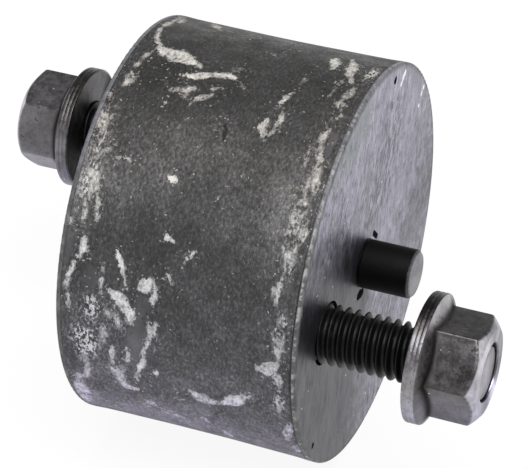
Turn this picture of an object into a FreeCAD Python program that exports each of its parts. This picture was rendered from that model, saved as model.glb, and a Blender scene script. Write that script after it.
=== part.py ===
import FreeCAD, Part
import math
import os
import Sketcher

# Cylindrical engine mount: a rubber block moulded between two round steel end plates. A headed stud
# comes out of each plate, off centre and on opposite sides, and carries a flange nut. One plate also
# holds a plain locating pin.
#
# Frame, in millimetres: the origin is the centre of the plain end plate's outer face. +X runs along
# the block's axis to the pinned end, +Z is up, and both stud axes lie in the XY plane.
#
# The pieces of an end are drawn in that end's own frame, in which +X points out of the block, x = 0
# is the plate's inner face and the stud stands at -Y. The plain end turns that frame half round Z.

SIZES = (
    ("block_diameter", 82.5, "outer diameter of the block and its plates"),
    ("block_length", 50, "from one plate's outer face to the other's"),
    ("rubber_waist", 0.3, "how far the rubber's side draws in at mid length"),
    ("plate_thickness", 3, "steel end plate"),
    ("plate_edge_radius", 0.5, "rounding of the plate's outer rim"),
    ("plate_back_chamfer", 2, "chamfer of the plate's inner rim, covered by the rubber"),
    ("stud_offset", 24.25, "stud axis from the block's axis"),
    ("stud_diameter", 12, "M12 thread, drawn as its outer cylinder"),
    ("stud_reach", 32.6, "stud outside its plate"),
    ("stud_point_chamfer", 0.6, "chamfer of the stud's end"),
    ("stud_head_diameter", 22, "round head behind the plate"),
    ("stud_head_thickness", 4, "round head behind the plate"),
    ("stud_hole_clearance", 0.5, "plate hole's radius over the stud's"),
    ("pin_diameter", 10, "locating pin"),
    ("pin_reach", 11, "pin outside its plate"),
    ("pin_shank_diameter", 8, "riveted through the plate"),
    ("pin_seat_margin", 0.1, "radius of the pin's flared seat in the plate, over the pin's own"),
    ("pin_neck_width", 0.4, "undercut at the pin's foot, so that a bracket seats flat"),
    ("pin_neck_depth", 0.3, "undercut at the pin's foot"),
    ("pin_point_chamfer", 0.6, "chamfer of the pin's end"),
    ("pin_side", 2.5, "pin axis from the block's axis, towards the stud"),
    ("pin_rise", 2, "pin axis above the block's axis"),
    ("nut_height", 13.5, "flange nut, bearing face to crown"),
    ("nut_across_flats", 19, "flange nut's hexagon"),
    ("nut_flange_diameter", 26, "flange nut's bearing face"),
    ("nut_rim_height", 2.6, "cylindrical rim of the flange"),
    ("nut_cone_rise", 1.7, "flange's cone, from its rim to the hexagon"),
    ("nut_cone_top_diameter", 19.4, "flange's cone where it meets the hexagon"),
    ("nut_crown_diameter", 17.4, "flat outer end of the nut"),
    ("nut_crown_angle", 31, "slope of the hexagon's chamfer, in degrees"),
    ("nut_thread_clearance", 0.05, "nut bore's radius over the stud's"),
    ("nut_countersink", 0.3, "chamfer at both ends of the nut's bore"),
    ("pinned_nut_gap", 19.6, "pinned end plate to its nut"),
    ("plain_nut_gap", 22.2, "plain end plate to its nut"),
    ("pinned_nut_turn", 21, "hexagon about the stud, in degrees"),
    ("plain_nut_turn", 18.5, "hexagon about the stud, in degrees"),
)

Z_AXIS = FreeCAD.Vector(0, 0, 1)
# Sketcher's own numbers: an element's points count up from 1, and a sketch's axes down from -1.
START, END, CENTRE = range(1, 4)
H_LINE, V_LINE = range(-1, -3, -1)
ORIGIN_POINT = (H_LINE, START)

doc = FreeCAD.newDocument("EngineMount")


class Size:
    """A value from the sheet, or one worked out from it, with the expression that ties it there."""

    def __init__(self, value, text):
        self.value = value
        self.text = text

    def joined(self, other, sign, value):
        text = other.text if isinstance(other, Size) else str(other)
        return Size(value, f"({self.text} {sign} {text})")

    def __add__(self, other):
        return self.joined(other, "+", self.value + number(other))

    def __sub__(self, other):
        return self.joined(other, "-", self.value - number(other))

    def __mul__(self, other):
        return self.joined(other, "*", self.value * number(other))

    def __truediv__(self, other):
        return self.joined(other, "/", self.value / number(other))


def number(term):
    return term.value if isinstance(term, Size) else term


def make_sheet():
    """Fill the spreadsheet with the driving dimensions and return each one under its alias."""
    sheet = doc.addObject("Spreadsheet::Sheet", "Sizes")
    sizes = {}
    for row, (alias, value, note) in enumerate(SIZES, start=1):
        sheet.set(f"A{row}", note)
        sheet.set(f"B{row}", str(value))
        sheet.setAlias(f"B{row}", alias)
        sizes[alias] = Size(value, f"Sizes.{alias}")
    doc.recompute()
    return sizes


def make_sketch(body, name, plane):
    """Make an empty sketch on one of the body's own origin planes."""
    support = next(item for item in body.Origin.OriginFeatures if item.Role == plane)
    sketch = body.newObject("Sketcher::SketchObject", name)
    sketch.AttachmentSupport = [(support, "")]
    sketch.MapMode = "FlatFace"
    return sketch


def dimension(sketch, name, size, kind, *terms):
    """Add a dimension and tie it to the sheet."""
    index = sketch.addConstraint(Sketcher.Constraint(kind, *terms, size.value))
    sketch.renameConstraint(index, name)
    sketch.setExpression(f"Constraints.{name}", size.text)


def fix_point(sketch, name, element, end, across, up):
    """Place a point of the sketch from its origin; None puts it on that axis."""
    point = (element, end)
    if across is None:
        sketch.addConstraint(Sketcher.Constraint("PointOnObject", *point, V_LINE))
    else:
        dimension(sketch, f"{name}_across", across, "DistanceX", *ORIGIN_POINT, *point)
    if up is None:
        sketch.addConstraint(Sketcher.Constraint("PointOnObject", *point, H_LINE))
    else:
        dimension(sketch, f"{name}_up", up, "DistanceY", *ORIGIN_POINT, *point)


def circle_sketch(body, name, diameter, across=None, up=None):
    """Draw one circle across the X axis, where across is its place along Y and up along Z."""
    sketch = make_sketch(body, name, "YZ_Plane")
    centre = FreeCAD.Vector(number(across or 0), number(up or 0), 0)
    sketch.addGeometry(Part.Circle(centre, Z_AXIS, diameter.value / 2), False)
    dimension(sketch, "diameter", diameter, "Diameter", 0)
    fix_point(sketch, "centre", 0, CENTRE, across, up)
    return sketch


def hexagon_sketch(body, name, across_flats, turn):
    """Draw a hexagon across the X axis, turned about it from the place with one corner on top."""
    sketch = make_sketch(body, name, "YZ_Plane")
    corner_radius = across_flats / math.sqrt(3)
    corners = [FreeCAD.Vector(-math.sin(math.tau * i / 6), math.cos(math.tau * i / 6), 0)
               * corner_radius.value for i in range(6)]
    for i in range(6):
        sketch.addGeometry(Part.LineSegment(corners[i], corners[(i + 1) % 6]), False)
    circle = sketch.addGeometry(Part.Circle(FreeCAD.Vector(), Z_AXIS, corner_radius.value), True)
    sketch.addConstraint(Sketcher.Constraint("Coincident", circle, CENTRE, *ORIGIN_POINT))
    dimension(sketch, "corner_radius", corner_radius, "Radius", circle)
    sketch.addConstraint(Sketcher.Constraint("PointOnObject", 0, START, V_LINE))
    for i in range(6):
        sketch.addConstraint(Sketcher.Constraint("Coincident", i, END, (i + 1) % 6, START))
        sketch.addConstraint(Sketcher.Constraint("PointOnObject", i, START, circle))
    for i in range(1, 6):
        sketch.addConstraint(Sketcher.Constraint("Equal", 0, i))
    sketch.AttachmentOffset = FreeCAD.Placement(FreeCAD.Vector(), FreeCAD.Rotation(Z_AXIS, turn.value))
    sketch.setExpression("AttachmentOffset.Rotation.Angle", turn.text)
    return sketch


def profile_sketch(body, name, corners, arc_side=None, arc_radius=None):
    """Draw a closed half section in the XY plane, with X along the axis and Y the radius.

    Each corner is a place along X and a radius, and None stands for nothing. Side i runs from corner
    i to the next. One side may be an arc that draws in towards the axis.
    """
    sketch = make_sketch(body, name, "XY_Plane")
    points = [FreeCAD.Vector(number(x or 0), number(r or 0), 0) for x, r in corners]
    for i, first in enumerate(points):
        last = points[(i + 1) % len(points)]
        side = Part.LineSegment(first, last)
        if i == arc_side:
            half = first.distanceToPoint(last) / 2
            sag = arc_radius.value - math.sqrt(arc_radius.value**2 - half**2)
            side = Part.Arc(first, (first + last) * 0.5 - FreeCAD.Vector(0, sag, 0), last)
        sketch.addGeometry(side, False)
    for i, (x, r) in enumerate(corners):
        sketch.addConstraint(Sketcher.Constraint("Coincident", i, END, (i + 1) % len(corners), START))
        fix_point(sketch, f"corner_{i}", i, START, x, r)
    if arc_side is not None:
        dimension(sketch, "arc_radius", arc_radius, "Radius", arc_side)
    return sketch


def add_feature(body, kind, name, **settings):
    """Add a PartDesign feature; a Size among its settings is tied to the sheet."""
    feature = body.newObject(f"PartDesign::{kind}", name)
    for key, setting in settings.items():
        if isinstance(setting, Size):
            feature.setExpression(key, setting.text)
        else:
            setattr(feature, key, setting)
    return feature


def revolve(body, kind, name, sketch):
    """Turn a half section once round the body's X axis, as a Revolution or a Groove."""
    add_feature(body, kind, name, Profile=sketch, ReferenceAxis=(sketch, ["H_Axis"]), Angle=360.0)


def circle_edges(body, places, radius):
    """Name the body's edges that are full circles of that radius, at those places along X."""
    doc.recompute()
    found = []
    for i, edge in enumerate(body.Tip.Shape.Edges, start=1):
        if isinstance(edge.Curve, Part.Circle) and abs(edge.Curve.Radius - radius.value) < 1e-6:
            if any(abs(edge.Curve.Center.x - number(place)) < 1e-6 for place in places):
                found.append(f"Edge{i}")
    return body.Tip, found


def dress_edge(body, kind, name, size, places, radius):
    """Chamfer or fillet the circles that circle_edges finds."""
    key = "Radius" if kind == "Fillet" else "Size"
    add_feature(body, kind, name, Base=circle_edges(body, places, radius), **{key: size})


def make_body(label):
    body = doc.addObject("PartDesign::Body", label)
    body.Label = label
    return body


def make_plate(label, size, has_pin):
    """Round steel plate with its stud hole and, at the pinned end, the pin's hole."""
    body = make_body(label)
    disc = circle_sketch(body, f"{label}_disc", size["block_diameter"])
    add_feature(body, "Pad", f"{label}_pad", Profile=disc, Length=size["plate_thickness"])
    outer_radius = size["block_diameter"] / 2
    thickness = size["plate_thickness"]
    dress_edge(body, "Fillet", f"{label}_rim", size["plate_edge_radius"], [thickness], outer_radius)
    dress_edge(body, "Chamfer", f"{label}_back", size["plate_back_chamfer"], [0], outer_radius)
    stud_hole = circle_sketch(body, f"{label}_stud_circle",
                              size["stud_diameter"] + size["stud_hole_clearance"] * 2,
                              across=size["stud_offset"] * -1)
    add_feature(body, "Pocket", f"{label}_stud_hole", Profile=stud_hole, Type="ThroughAll",
                Reversed=True)
    if has_pin:
        pin_hole = circle_sketch(body, f"{label}_pin_circle", size["pin_shank_diameter"],
                                 across=size["pin_side"] * -1, up=size["pin_rise"])
        add_feature(body, "Pocket", f"{label}_pin_hole", Profile=pin_hole, Type="ThroughAll",
                    Reversed=True)
        shank_radius = size["pin_shank_diameter"] / 2
        dress_edge(body, "Chamfer", f"{label}_pin_seat", pin_seat_radius(size) - shank_radius,
                   [thickness], shank_radius)
    return body


def pin_seat_radius(size):
    """Outer radius of the 45 degree seat that the pin fills in its plate."""
    return size["pin_diameter"] / 2 + size["pin_seat_margin"]


def make_stud(label, size):
    """Threaded stud with a round head. x = 0 is where its head meets the plate's inner face."""
    body = make_body(label)
    radius = size["stud_diameter"] / 2
    length = size["plate_thickness"] + size["stud_reach"]
    shank = circle_sketch(body, f"{label}_shank_circle", size["stud_diameter"])
    add_feature(body, "Pad", f"{label}_shank", Profile=shank, Length=length)
    dress_edge(body, "Chamfer", f"{label}_point", size["stud_point_chamfer"], [length], radius)
    head = circle_sketch(body, f"{label}_head_circle", size["stud_head_diameter"])
    add_feature(body, "Pad", f"{label}_head", Profile=head, Length=size["stud_head_thickness"],
                Reversed=True)
    return body


def make_pin(label, size):
    """Turned locating pin with a flared shoulder that lies in the plate's seat, flush with its face.
    x = 0 is the pin's riveted end, flush with the plate's inner face."""
    body = make_body(label)
    foot = size["plate_thickness"]
    end = foot + size["pin_reach"]
    radius = size["pin_diameter"] / 2
    neck_radius = radius - size["pin_neck_depth"]
    neck_end = foot + size["pin_neck_width"]
    shank_radius = size["pin_shank_diameter"] / 2
    seat_radius = pin_seat_radius(size)
    seat_start = foot - (seat_radius - shank_radius)
    chamfer = size["pin_point_chamfer"]
    section = profile_sketch(body, f"{label}_section",
                             [(None, None), (None, shank_radius), (seat_start, shank_radius),
                              (foot, seat_radius), (foot, neck_radius),
                              (neck_end, neck_radius), (neck_end, radius),
                              (end - chamfer, radius), (end, radius - chamfer), (end, None)])
    revolve(body, "Revolution", f"{label}_turned", section)
    return body


def make_nut(label, size, turn):
    """Hexagon flange nut. x = 0 is its bearing face."""
    body = make_body(label)
    height = size["nut_height"]
    hexagon = hexagon_sketch(body, f"{label}_hexagon", size["nut_across_flats"], turn)
    add_feature(body, "Pad", f"{label}_prism", Profile=hexagon, Length=height)
    crown_radius = size["nut_crown_diameter"] / 2
    outside = size["nut_across_flats"]
    slope = math.tan(math.radians(size["nut_crown_angle"].value))
    fall = Size((outside.value - crown_radius.value) * slope,
                f"({outside.text} - {crown_radius.text}) * tan({size['nut_crown_angle'].text} * 1 deg)")
    crown = profile_sketch(body, f"{label}_crown_section",
                           [(height, crown_radius), (height - fall, outside), (height, outside)])
    revolve(body, "Groove", f"{label}_crown", crown)
    rim = size["nut_rim_height"]
    rim_radius = size["nut_flange_diameter"] / 2
    flange = profile_sketch(body, f"{label}_flange_section",
                            [(None, None), (None, rim_radius), (rim, rim_radius),
                             (rim + size["nut_cone_rise"], size["nut_cone_top_diameter"] / 2),
                             (rim + size["nut_cone_rise"], None)])
    revolve(body, "Revolution", f"{label}_flange", flange)
    bore_diameter = size["stud_diameter"] + size["nut_thread_clearance"] * 2
    bore = circle_sketch(body, f"{label}_bore_circle", bore_diameter)
    add_feature(body, "Pocket", f"{label}_bore", Profile=bore, Type="ThroughAll", Reversed=True)
    dress_edge(body, "Chamfer", f"{label}_countersinks", size["nut_countersink"], [0, height],
               bore_diameter / 2)
    return body


def make_rubber(label, size):
    """Rubber block in the mount's own frame: it fills the space between the plates, reaches over
    the chamfer of each plate's rim and holds the stud heads in pockets."""
    body = make_body(label)
    low = size["plate_thickness"]
    high = size["block_length"] - size["plate_thickness"]
    lip = size["plate_back_chamfer"]
    radius = size["block_diameter"] / 2
    half = (high - low) / 2 + lip
    waist = size["rubber_waist"]
    side_radius = half * half / (waist * 2) + waist / 2
    section = profile_sketch(body, f"{label}_section",
                             [(low, None), (low, radius - lip), (low - lip, radius),
                              (high + lip, radius), (high, radius - lip), (high, None)],
                             arc_side=2, arc_radius=side_radius)
    revolve(body, "Revolution", f"{label}_block", section)
    for end, across, depth_from, reverse in (("pinned", size["stud_offset"] * -1, high, False),
                                             ("plain", size["stud_offset"], low, True)):
        circle = circle_sketch(body, f"{label}_{end}_head_circle", size["stud_head_diameter"],
                               across=across)
        circle.setExpression("AttachmentOffset.Base.z", depth_from.text)
        add_feature(body, "Pocket", f"{label}_{end}_head_pocket", Profile=circle,
                    Length=size["stud_head_thickness"], Reversed=reverse)
    return body


def place(body, x, y=None, z=None, half_turn=False):
    """Set the body's place from the sheet, with half a turn about Z for the plain end."""
    if half_turn:
        body.Placement = FreeCAD.Placement(FreeCAD.Vector(), FreeCAD.Rotation(Z_AXIS, 180))
    for axis, size in zip("xyz", (x, y, z)):
        if size is not None:
            body.setExpression(f"Placement.Base.{axis}", size.text)


def build(size):
    """Make and place every piece, and return the bodies."""
    thickness = size["plate_thickness"]
    length = size["block_length"]
    bodies = [make_rubber("rubber_block", size)]

    plate = make_plate("pinned_end_plate", size, has_pin=True)
    stud = make_stud("pinned_end_stud", size)
    nut = make_nut("pinned_end_nut", size, size["pinned_nut_turn"])
    pin = make_pin("locating_pin", size)
    place(plate, length - thickness)
    place(stud, length - thickness, y=size["stud_offset"] * -1)
    place(nut, length + size["pinned_nut_gap"], y=size["stud_offset"] * -1)
    place(pin, length - thickness, y=size["pin_side"] * -1, z=size["pin_rise"])
    bodies += [plate, stud, nut, pin]

    plate = make_plate("plain_end_plate", size, has_pin=False)
    stud = make_stud("plain_end_stud", size)
    nut = make_nut("plain_end_nut", size, size["plain_nut_turn"])
    place(plate, thickness, half_turn=True)
    place(stud, thickness, y=size["stud_offset"], half_turn=True)
    place(nut, size["plain_nut_gap"] * -1, y=size["stud_offset"], half_turn=True)
    bodies += [plate, stud, nut]
    return bodies


def check(bodies):
    """Stop if any object failed, or a piece isn't one valid solid."""
    failed = [item.Name for item in doc.Objects if {"Invalid", "Error"} & set(item.State)]
    if failed:
        raise RuntimeError(f"failed objects: {failed}")
    for body in bodies:
        shape = body.Shape
        if shape.isNull() or not shape.isValid() or len(shape.Solids) != 1:
            raise RuntimeError(f"{body.Label} isn't one valid solid")
        box = shape.BoundBox
        print(f"{body.Label}: {shape.Volume:.1f} mm3, x {box.XMin:.2f} to {box.XMax:.2f},"
              f" y {box.YMin:.2f} to {box.YMax:.2f}, z {box.ZMin:.2f} to {box.ZMax:.2f}")


def export(bodies):
    os.makedirs("parts", exist_ok=True)
    for body in bodies:
        body.Shape.exportStep(os.path.join("parts", f"{body.Label}.step"))


pieces = build(make_sheet())
doc.recompute()
check(pieces)
export(pieces)
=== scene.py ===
"""Looks of a cylindrical rubber engine mount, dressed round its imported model.

Lengths are millimetres until a mesh is made, and the frame is the model's own: x runs along the
block from the plain end plate's outer face to the pinned end, z is up, and the studs lie in the xy
plane. A ring angle, in degrees or radians, starts at +z and turns towards -y, which is a
right-handed turn about +x.
"""
import math
from collections import namedtuple

import bpy
import numpy as np
from mathutils import Matrix, Vector


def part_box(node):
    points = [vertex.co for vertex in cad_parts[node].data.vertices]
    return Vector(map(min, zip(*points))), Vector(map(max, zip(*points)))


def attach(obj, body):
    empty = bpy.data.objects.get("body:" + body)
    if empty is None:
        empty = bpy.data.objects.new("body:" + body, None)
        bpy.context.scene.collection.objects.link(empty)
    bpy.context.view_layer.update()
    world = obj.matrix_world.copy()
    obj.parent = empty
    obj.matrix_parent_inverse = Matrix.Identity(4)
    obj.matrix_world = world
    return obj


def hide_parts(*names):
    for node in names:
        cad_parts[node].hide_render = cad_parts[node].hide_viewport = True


MM = 0.001
FULL_TURN = 2 * math.pi

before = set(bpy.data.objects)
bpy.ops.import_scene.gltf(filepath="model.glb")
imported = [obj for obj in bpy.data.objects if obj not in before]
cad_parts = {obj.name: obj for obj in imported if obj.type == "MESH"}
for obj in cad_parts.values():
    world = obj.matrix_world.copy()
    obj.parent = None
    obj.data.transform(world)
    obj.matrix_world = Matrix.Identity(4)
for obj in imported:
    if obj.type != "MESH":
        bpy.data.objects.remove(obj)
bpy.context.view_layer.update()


# ---------------------------------------------------------------- sizes from the frame

def box_mm(node):
    """Lowest and highest corner of a node, in millimetres."""
    low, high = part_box(node)
    return np.array(low) / MM, np.array(high) / MM


rubber_low = box_mm("rubber_block")[0]
plain_plate_low, plain_plate_high = box_mm("plain_end_plate")

BLOCK_RADIUS = plain_plate_high[2]
BLOCK_LENGTH = box_mm("pinned_end_plate")[1][0]
PLATE_THICKNESS = plain_plate_high[0] - plain_plate_low[0]
PLATE_BACK_CHAMFER = PLATE_THICKNESS - rubber_low[0]
RUBBER_WAIST = 0.3

STUD_RADIUS = 6.0
THREAD_PITCH = 2.0
THREAD_DEPTH = 1.05
THREAD_START = 0.37
STUD_POINT_CHAMFER = 0.6
STUD_HEAD_RADIUS = 11.0
STUD_HEAD_THICKNESS = 4.0
STUD_HEAD_CHAMFER = 0.3
THREAD_SOFTNESS = 0.03
THREAD_RUN_IN = 1
THREAD_STEP = 0.1
THREAD_END_ROUNDING = 0.06

NUT_ACROSS_FLATS = 19.0
NUT_CORNER_ROUNDING = 0.08
NUT_RIM_HEIGHT = 2.6
NUT_CONE_RISE = 1.7
NUT_CONE_TOP_RADIUS = 9.7
NUT_CROWN_RADIUS = 8.7
NUT_CROWN_SLOPE = math.tan(math.radians(36))
NUT_CROWN_ROUNDING = 0.2
NUT_FILLET = 0.12
NUT_FOOT_ROUNDING = 0.3
NUT_MOUTH_RADIUS = 6.1
NUT_COUNTERSINK_SLOPE = 0.65
NUT_THREAD_CLEARANCE = 0.06
NUT_THREAD_ROUNDING = 0.05
NUT_MOUTH_SPAN = 2.2
NUT_FACE_MARGIN = 0.15
NUT_END_MARGIN = 0.25
NUT_SEAT_MARGINS = (0.9, 0.5)
PINNED_NUT_TURN = math.radians(21)
PLAIN_NUT_TURN = math.radians(18.5)

PIN_SHANK_RADIUS = 4.0
PIN_NECK_WIDTH = 0.4
PIN_NECK_DEPTH = 0.3
PIN_POINT_CHAMFER = 0.6
PIN_SEAT_MARGIN = 0.1

End = namedtuple("End", "name sign plate_inner stud_y nut_seat nut_top stud_top flange_radius turn")


def read_end(name, sign, turn):
    """Places on one end of the mount; sign is +1 where +x points out of the block and -1 where it
    points in."""
    nut_low, nut_high = box_mm(f"{name}_end_nut")
    stud_low, stud_high = box_mm(f"{name}_end_stud")
    outward = slice(None) if sign > 0 else slice(None, None, -1)
    nut_seat, nut_top = (nut_low[0], nut_high[0])[outward]
    plate_inner = BLOCK_LENGTH - PLATE_THICKNESS if sign > 0 else PLATE_THICKNESS
    stud_top = stud_high[0] if sign > 0 else stud_low[0]
    return End(name, sign, plate_inner, (nut_low[1] + nut_high[1]) / 2, nut_seat, nut_top, stud_top,
               (nut_high[2] - nut_low[2]) / 2, turn)


PINNED_END = read_end("pinned", 1, PINNED_NUT_TURN)
PLAIN_END = read_end("plain", -1, PLAIN_NUT_TURN)


# ---------------------------------------------------------------- arrays and meshes

def ring_directions(angles):
    """Unit vectors in the yz plane: y = -sin(angle), z = cos(angle)."""
    return -np.sin(angles), np.cos(angles)


def smooth_step(values, low, high):
    """0 below low, 1 above high and 3t^2 - 2t^3 between, where t is the share of the way."""
    share = np.clip((values - low) / (high - low), 0, 1)
    return share * share * (3 - 2 * share)


def bell(values, centre, width):
    """1 at the centre, fading on both sides: e^-(((value - centre) / width)^2)."""
    return np.exp(-((values - centre) / width)**2)


def soft_min(first, second, rounding):
    """The smaller of two radii, with their corner rounded: m - r*ln(e^((m-a)/r) + e^((m-b)/r))."""
    least = np.minimum(first, second)
    return least - rounding * np.log(np.exp((least - first) / rounding)
                                     + np.exp((least - second) / rounding))


def soft_max(first, second, rounding):
    """The larger of two radii, rounded in the same way."""
    return -soft_min(-first, -second, rounding)


def spaced(*stops):
    """A row of numbers through the stops (value, steps to the next), evenly spaced in each span.
    The last stop's number of steps isn't used."""
    spans = [np.linspace(here, there, steps, endpoint=False)
             for (here, steps), (there, _) in zip(stops, stops[1:])]
    return np.concatenate(spans + [[stops[-1][0]]])


def grid_mesh(name, x, y, z, closed=False, attributes=None):
    """Make a mesh of rings: row i, column j of x, y and z is one point, and each row closes on itself.

    With closed, the last row joins the first, as on a tube bent round. Otherwise the first and the
    last row each close to a pole at their middle. Faces point outwards when rows run along +x on the
    outside and columns turn from +z towards -y.
    """
    points = np.stack(np.broadcast_arrays(x, y, z), axis=-1) * MM
    rows, columns = points.shape[:2]
    row = np.arange(rows if closed else rows - 1)[:, None]
    column = np.arange(columns)[None, :]
    next_row = (row + 1) % rows
    next_column = (column + 1) % columns
    quads = np.stack([row * columns + column, row * columns + next_column,
                      next_row * columns + next_column, next_row * columns + column], axis=-1)
    faces = quads.reshape(-1, 4).tolist()
    vertices = points.reshape(-1, 3)
    if not closed:
        poles = np.stack([points[0].mean(axis=0), points[-1].mean(axis=0)])
        first_pole = len(vertices)
        vertices = np.concatenate([vertices, poles])
        around, onward = column[0], next_column[0]
        last = (rows - 1) * columns
        faces += np.stack([np.full(columns, first_pole), onward, around], axis=-1).tolist()
        faces += np.stack([np.full(columns, first_pole + 1), last + around, last + onward],
                          axis=-1).tolist()
    mesh = bpy.data.meshes.new(name)
    mesh.from_pydata(vertices.tolist(), [], faces)
    mesh.polygons.foreach_set("use_smooth", np.ones(len(faces), bool))
    for key, values in (attributes or {}).items():
        flat = np.broadcast_to(values, (rows, columns)).reshape(-1)
        flat = np.concatenate([flat, np.zeros(len(vertices) - len(flat))])
        mesh.attributes.new(key, "FLOAT", "POINT").data.foreach_set("value", flat.astype(np.float32))
    mesh.update()
    piece = bpy.data.objects.new(name, mesh)
    bpy.context.scene.collection.objects.link(piece)
    return piece


def add_piece(piece, node, finish):
    """Let a piece stand for its CAD node, with that node's finish."""
    piece.data.materials.append(finish)
    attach(piece, "root")
    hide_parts(node)


# ---------------------------------------------------------------- shader arithmetic

def rgba(colour):
    """The four numbers of a colour that is given as three, or as one for a grey."""
    return (*colour, 1) if isinstance(colour, tuple) else (colour, colour, colour, 1)


class Wire:
    """A socket that arithmetic can be written on: each operator adds a Math node."""

    def __init__(self, shader, socket):
        self.shader = shader
        self.socket = socket

    def maths(self, operation, first, second):
        return self.shader.node("Math", {"operation": operation}, {0: first, 1: second})

    def __add__(self, other):
        return self.maths("ADD", self, other)

    def __sub__(self, other):
        return self.maths("SUBTRACT", self, other)

    def __rsub__(self, other):
        return self.maths("SUBTRACT", other, self)

    def __mul__(self, other):
        return self.maths("MULTIPLY", self, other)

    __radd__ = __add__
    __rmul__ = __mul__


class Shader:
    """The node tree of one material."""

    def __init__(self, name, tree=None):
        if tree is None:
            self.material = bpy.data.materials.new(name)
            self.material.use_nodes = True
            tree = self.material.node_tree
        self.tree = tree
        self.tree.nodes.clear()
        self.place = self.node("TexCoord", output="Object")

    def node(self, kind, settings=None, inputs=None, output=0):
        """Add a node of a kind, with its settings first and then its sockets' values or links.

        The setting "stops" fills a colour ramp with (position, colour) pairs. A number for a
        colour is a grey.
        """
        node = self.tree.nodes.new(f"ShaderNode{kind}")
        for key, value in (settings or {}).items():
            if key == "stops":
                ramp = node.color_ramp
                while len(ramp.elements) < len(value):
                    ramp.elements.new(0.5)
                for element, (position, colour) in zip(ramp.elements, value):
                    element.position = position
                    element.color = rgba(colour)
            else:
                setattr(node, key, value)
        for key, value in (inputs or {}).items():
            if isinstance(value, Wire):
                self.tree.links.new(value.socket, node.inputs[key])
            else:
                node.inputs[key].default_value = value
        return Wire(self, node.outputs[output])

    def stretched(self, scale, turn=0.0):
        """Object coordinates scaled along each axis, after a turn about x."""
        turned = self.node("Mapping", {"vector_type": "POINT"},
                           {"Vector": self.place, "Rotation": (turn, 0, 0)})
        return self.node("Mapping", {"vector_type": "POINT"}, {"Vector": turned, "Scale": scale})

    def noise(self, size, detail, roughness=0.55, place=None):
        """Fractal noise from 0 to 1 whose largest features are about size millimetres."""
        return self.node("TexNoise", {}, {"Vector": place or self.place, "Scale": 1 / (size * MM),
                                          "Detail": detail, "Roughness": roughness}, "Fac")

    def between(self, value, low, high, to_low=0.0, to_high=1.0):
        """Carry value from low..high to to_low..to_high on a smooth step, clamped at both ends."""
        return self.node("MapRange", {"interpolation_type": "SMOOTHSTEP"},
                         {"Value": value, "From Min": low, "From Max": high,
                          "To Min": to_low, "To Max": to_high})

    def blend(self, factor, first, second, how="MIX"):
        """Mix two colours, each a wire, three numbers, or one number for a grey."""
        first, second = (colour if isinstance(colour, Wire) else rgba(colour)
                         for colour in (first, second))
        return self.node("Mix", {"data_type": "RGBA", "blend_type": how},
                         {0: factor, 6: first, 7: second}, 2)

    def ramp(self, value, *stops):
        """A colour ramp through (position, colour) stops."""
        return self.node("ValToRGB", {"stops": stops}, {"Fac": value})

    def axis(self, name):
        """One object coordinate, in metres."""
        return self.node("SeparateXYZ", {}, {"Vector": self.place}, name)

    def length(self, across, up):
        """Distance in metres from the block's axis: the root of y^2 + z^2."""
        return self.node("Math", {"operation": "SQRT"}, {0: across * across + up * up})

    def absolute(self, value):
        return self.node("Math", {"operation": "ABSOLUTE"}, {0: value})

    def before_seam(self):
        """Distance in metres along x to the seam of rubber and pinned plate, less than 0 past it."""
        return (BLOCK_LENGTH - PLATE_THICKNESS + PLATE_BACK_CHAMFER) * MM - self.axis("X")

    def seam_depth(self, noise):
        """How black the seam's line is: 1 low down, fading to 0.4 from 18 to 38 mm above the axis."""
        return self.between(self.axis("Z") + (noise - 0.5) * 0.03, 0.038, 0.018, 0.4, 1)

    def spots(self, across, up, places):
        """Sum of round spots on a plate, each falling smoothly from its strength to 0 at its reach."""
        away = ((self.length(across - y * MM, up - z * MM), reach * MM, strength)
                for y, z, reach, strength in places)
        return sum(self.between(distance, edge, 0.0, 0.0, strength)
                   for distance, edge, strength in away)

    def attribute(self, name):
        """A value that the mesh carries at its points."""
        return self.node("Attribute", {"attribute_name": name}, output="Fac")

    def bump(self, height, distance):
        """Tilt the normal by a height from 0 to 1, which stands for distance millimetres."""
        return self.node("Bump", {}, {"Height": height, "Distance": distance * MM}, "Normal")

    def finish(self, matt_black=None, **inputs):
        """Close the tree with a Principled shader and return the material. Where matt_black is 1, a
        matt black diffuse takes its place."""
        named = {key.replace("_", " "): value for key, value in inputs.items()}
        surface = self.node("BsdfPrincipled", {}, named)
        if matt_black is not None:
            black = self.node("BsdfDiffuse", {}, {"Color": rgba((0.010, 0.010, 0.011))})
            surface = self.node("MixShader", {}, {0: matt_black, 1: surface, 2: black})
        self.node_output(surface)
        return self.material

    def seen(self):
        """1 for rays that the eye follows: straight, mirrored or through glass."""
        path = [self.node("LightPath", output=f"Is {kind} Ray")
                for kind in ("Camera", "Glossy", "Transmission")]
        larger = self.node("Math", {"operation": "MAXIMUM"}, {0: path[0], 1: path[1]})
        return self.node("Math", {"operation": "MAXIMUM"}, {0: larger, 1: path[2]})

    def node_output(self, surface):
        """Give the tree its surface."""
        output = self.tree.nodes.new("ShaderNodeOutputMaterial")
        self.tree.links.new(surface.socket, output.inputs["Surface"])


# ---------------------------------------------------------------- rubber block

RUBBER_COLUMNS = 480
SIDE_ROWS = 150
ANNULUS_ROWS = 4
SIDE_UNEVENNESS = 0.12
WAVES = 9
EVEN_MARGIN = 3
SEAM_GROOVE = 0.28
SEAM_GROOVE_WIDTH = 0.3
SEAM_WIDTH = 0.22

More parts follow.
